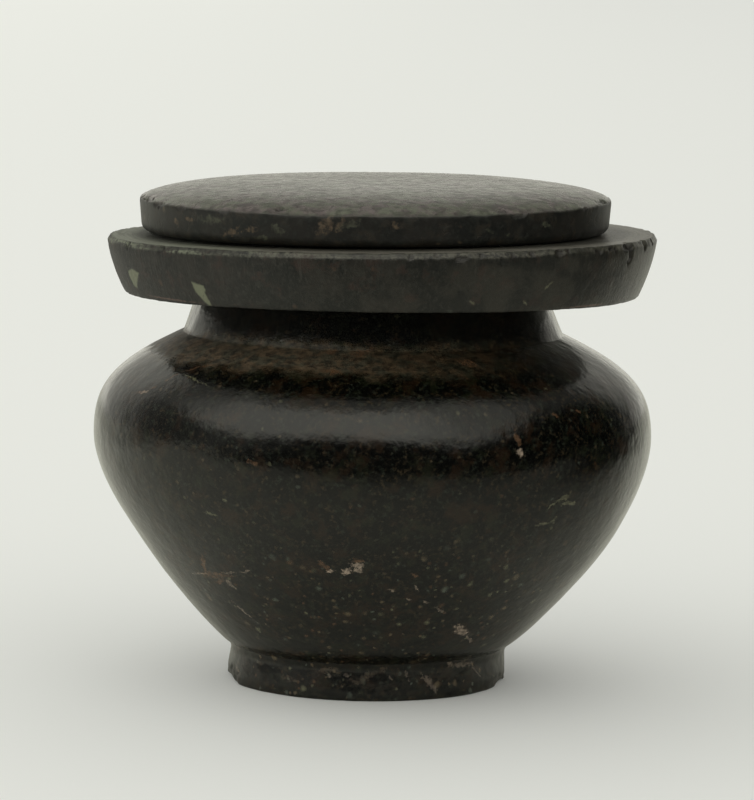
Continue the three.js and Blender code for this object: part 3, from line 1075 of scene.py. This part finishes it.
GUM_DARK = (0.012, 0.007, 0.004)
GUM_BROWN = (0.05, 0.028, 0.014)
KOHL_BLACK = (0.006, 0.006, 0.007)
KOHL_GREY = (0.022, 0.022, 0.024)
KOHL_CRACK = grey(0.002)


def gum():
    g, at = new_material("gum")
    cloud = g.grain(at, 1.2, 4)
    colour = g.blend(cloud, GUM_DARK, GUM_BROWN)
    return finished(g, colour, g.plus(0.4, cloud, 0.3), g.bump(cloud, 0.08))


def kohl():
    g, at = new_material("kohl")
    powder = g.grain(at, 0.5, 4, 0.7)
    cells = {"Vector": g.jitter(at, 2, 1.2), "Scale": 0.3}
    cracks = g.node("TexVoronoi", cells, "Distance", feature="DISTANCE_TO_EDGE")
    crack = g.fade(cracks, 0.05, 0.0)
    colour = g.blend(crack, g.blend(powder, KOHL_BLACK, KOHL_GREY), KOHL_CRACK)
    normal = g.bump(g.math("SUBTRACT", powder, crack), 0.12)
    return finished(g, colour, g.plus(0.65, powder, 0.25), normal)


# Stage: floor, studio light and camera

FLOOR_RADIUS = 6000
FLOOR_SIDES = 64
FLOOR_SINK = 0.02
FLOOR_LIT_LEFT = (0.91, 0.915, 0.87)
FLOOR_SHADED_RIGHT = (0.8, 0.805, 0.775)
MIRRORED_PAPER = (0.66, 0.655, 0.56)
MIRRORED_FRONT = (0.58, 0.575, 0.49)
MIRRORED_BACK = (0.87, 0.865, 0.75)
MIRRORED_DIM = (0.28, 0.277, 0.24)
MIRRORED_SHADE = (0.02, 0.02, 0.017)


def mirrored_paper(g, at, x, y):
    """The paper as the stone mirrors it, with painted light and shade: brightest behind, and dark in front
    and to the right.
    """
    behind = g.fade(y, 0.0, 60.0)
    paper = g.blend(g.fade(y, -60.0, 10.0), MIRRORED_FRONT, MIRRORED_PAPER)
    paper = g.blend(g.fade(y, 0.0, 90.0), paper, MIRRORED_BACK)
    at_sides = g.times(g.fade(g.math("ABSOLUTE", x), 100.0, 260.0), behind)
    paper = g.blend(at_sides, paper, MIRRORED_PAPER)
    far_left = g.times(g.fade(x, -120.0, -290.0), behind)
    far_left = g.times(far_left, g.fade(g.plus(y, x, 0.55), 60.0, -60.0))
    paper = g.blend(far_left, paper, MIRRORED_DIM)
    # Painted shadow next to the foot
    foot_shadow = g.fade(g.plus(g.length(at), y, 0.35), 28.0, 13.0)
    paper = g.blend(g.times(foot_shadow, 0.28), paper, MIRRORED_SHADE)
    in_front = g.fade(g.plus(y, x, -0.28), -20.0, -140.0)
    at_right = g.fade(g.plus(y, x, -1.25), -15.0, -145.0)
    at_right = g.times(at_right, g.plus(1.0, g.fade(y, 0.0, -50.0), -0.5))
    return g.blend(g.either(in_front, at_right), paper, MIRRORED_SHADE)


def make_floor():
    """Pale paper with painted light, lighter towards -X, which reflections in the stone see with painted
    shade.
    """
    mesh = bpy.data.meshes.new("floor")
    corners = turn(np.array([[FLOOR_RADIUS, -FLOOR_SINK]]), FLOOR_SIDES)[0] * MM
    mesh.from_pydata(corners, [], [list(range(FLOOR_SIDES))])
    floor = bpy.data.objects.new("floor", mesh)
    bpy.context.scene.collection.objects.link(floor)
    g = Graph(bpy.data.materials.new("paper"))
    g.nodes.clear()
    place = g.node("NewGeometry", {}, "Position")
    at = g.vector("MULTIPLY", place, (1 / MM, 1 / MM, 1 / MM))
    x, y = g.split(at, "XY")
    # Painted light: the paper the camera sees is lighter towards -X and darker towards +X
    seen = g.blend(g.fade(x, -450.0, 450.0), FLOOR_LIT_LEFT, FLOOR_SHADED_RIGHT)
    glossy = g.node("LightPath", {}, "Is Glossy Ray")
    colour = g.blend(glossy, seen, mirrored_paper(g, at, x, y))
    paper = g.node("BsdfDiffuse", {"Color": colour})
    g.node("OutputMaterial", {"Surface": paper})
    mesh.materials.append(g.owner)


# What the stone mirrors: two rings of light, a low one and a high one, as azimuth and radiance
LOW_LIGHT = (
    (-180, 0.57), (-160, 0.63), (-143, 0.67), (-128, 0.44), (-115, 0.2), (-100, 0.12), (-84, 0.11),
    (-68, 0.24), (-53, 0.18), (-38, 0.06), (-22, 0.01), (112, 0.0), (126, 0.03), (134, 0.2),
    (142, 0.44), (157, 0.51), (180, 0.57),
)
HIGH_LIGHT = (
    (-180, 0.2), (-145, 0.2), (-128, 0.16), (-114, 0.3), (-98, 0.65), (-83, 1.05), (-68, 1.2),
    (-38, 1.25), (-8, 1.35), (7, 1.32), (22, 1.25), (37, 1.0), (52, 0.7), (67, 0.65), (82, 0.6),
    (97, 0.32), (112, 0.16), (127, 0.11), (142, 0.08), (180, 0.2),
)
# The sine of the height at which the upper ring takes over
LIGHT_EDGE = (
    (-180, 0.3), (-170, 0.36), (-158, 0.6), (-143, 0.66), (-128, 0.7), (-113, 0.55), (-98, 0.59),
    (-83, 0.42), (-68, 0.31), (-53, 0.24), (-38, 0.27), (-22, 0.36), (-8, 0.39), (7, 0.36), (22, 0.28),
    (37, 0.2), (52, 0.28), (67, 0.48), (82, 0.67), (100, 0.67), (112, 0.62), (127, 0.52), (142, 0.64),
    (157, 0.5), (172, 0.3), (180, 0.3),
)
LIGHT_EDGE_BLUR = 0.1
# The dimmer light overhead: where it begins and is full, in degrees, and how far it leans to -X
TOP_LIGHT = 0.3
TOP_LIGHT_START = 61
TOP_LIGHT_FULL = 76
TOP_LIGHT_LEAN = 0.09
# A bright strip low at the back
BACK_LIGHT = 1.6
BACK_GLOW = 0.65
MIRRORED_TINT = (1.0, 0.985, 0.87)
# Soft light that falls on everything, at the horizon and overhead
SOFT_LIGHT = (
    (-180, 2.5), (-135, 2.2), (-90, 1.8), (-45, 2.0), (0, 2.1), (45, 1.4), (90, 0.6), (135, 1.1),
    (180, 2.5),
)
SOFT_TOP = 0.52
SOFT_TINT = (1.0, 1.005, 0.975)
BACKDROP = (0.79, 0.795, 0.755)


def ring_light(g, turn_share, stops):
    """A value that changes round the horizon, from stops of azimuth and value."""
    node = g.nodes.new("ShaderNodeValToRGB")
    g.put(node.inputs["Fac"], turn_share)
    elements = node.color_ramp.elements
    for azimuth, _ in stops[2:]:
        elements.new((azimuth + 180) / 360)
    for element, (azimuth, value) in zip(elements, stops):
        element.position = (azimuth + 180) / 360
        element.color = (*grey(value), 1.0)
    return node.outputs["Color"]


def mirrored_light(g, turn_share, x, y, z):
    """The light tent as the stone mirrors it: bright behind, left and above, dark low at the front."""
    edge = g.node("SeparateColor", {"Color": ring_light(g, turn_share, LIGHT_EDGE)})
    lift = g.fade(g.math("SUBTRACT", z, edge), -LIGHT_EDGE_BLUR, LIGHT_EDGE_BLUR)
    low, high = (ring_light(g, turn_share, stops) for stops in (LOW_LIGHT, HIGH_LIGHT))
    start, full = (math.sin(math.radians(angle)) for angle in (TOP_LIGHT_START, TOP_LIGHT_FULL))
    crown = g.fade(g.plus(z, x, -TOP_LIGHT_LEAN), start, full)
    light = g.blend(crown, g.blend(lift, low, high), grey(TOP_LIGHT))
    glow = g.times(g.fade(y, 0.75, 0.97), g.fade(g.math("ABSOLUTE", z), 0.2, 0.0))
    light = g.blend(g.times(glow, BACK_GLOW), light, grey(BACK_LIGHT))
    return g.tinted(light, MIRRORED_TINT)


def make_studio():
    g = Graph(bpy.data.worlds.new("studio"))
    bpy.context.scene.world = g.owner
    g.nodes.clear()
    way = g.node("TexCoord", {}, "Generated")
    x, y, z = g.split(way, "XYZ")
    angle = g.math("ARCTAN2", x, g.times(y, -1.0))
    turn_share = g.math("ADD", g.times(angle, 0.5 / math.pi), 0.5)
    soft = g.blend(g.either(z, 0.0), ring_light(g, turn_share, SOFT_LIGHT), grey(SOFT_TOP))
    glossy = g.node("LightPath", {}, "Is Glossy Ray")
    light = g.blend(glossy, g.tinted(soft, SOFT_TINT), mirrored_light(g, turn_share, x, y, z))
    lit = g.node("Background", {"Color": light})
    seen = g.node("Background", {"Color": BACKDROP})
    camera = g.node("LightPath", {}, "Is Camera Ray")
    mix = g.node("MixShader", {0: camera, 1: lit, 2: seen})
    g.node("OutputWorld", {"Surface": mix})


IMAGE_HEIGHT_PX = 800
SENSOR_MM = 36
FOCAL_PX = 4200
CAMERA_X = 0.57
CAMERA_BACK = 450
CAMERA_HEIGHT = 82.25
CAMERA_PITCH = 6.6
CAMERA_ROLL = 0.9


def make_camera():
    data = bpy.data.cameras.new("camera")
    data.sensor_width = SENSOR_MM
    data.lens = FOCAL_PX * SENSOR_MM / IMAGE_HEIGHT_PX
    camera = bpy.data.objects.new("camera", data)
    spot = Matrix.Translation(Vector((CAMERA_X, -CAMERA_BACK, CAMERA_HEIGHT)) * MM)
    tilt = Matrix.Rotation(math.radians(90 - CAMERA_PITCH), 4, "X")
    roll = Matrix.Rotation(math.radians(CAMERA_ROLL), 4, "Z")
    camera.matrix_world = spot @ tilt @ roll
    bpy.context.scene.collection.objects.link(camera)
    bpy.context.scene.camera = camera


bpy.context.scene.view_settings.view_transform = "Standard"
make_camera()
make_floor()
make_studio()

for piece, material, node, body, slot in (
    (make_body(), body_stone(), "jar_body", "jar", "polished_stone"),
    (make_bedding(), gum(), "rim_bedding", "jar", "gum"),
    (make_rim(), rim_stone(), "rim_collar", "jar", "rim_stone"),
    (make_lid(), lid_stone(), "lid", "loose_lid", "lid_stone"),
    (make_kohl(), kohl(), "kohl_cake", "jar", "kohl"),
):
    piece.data.materials.append(material)
    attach(piece, body)
    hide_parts(node)
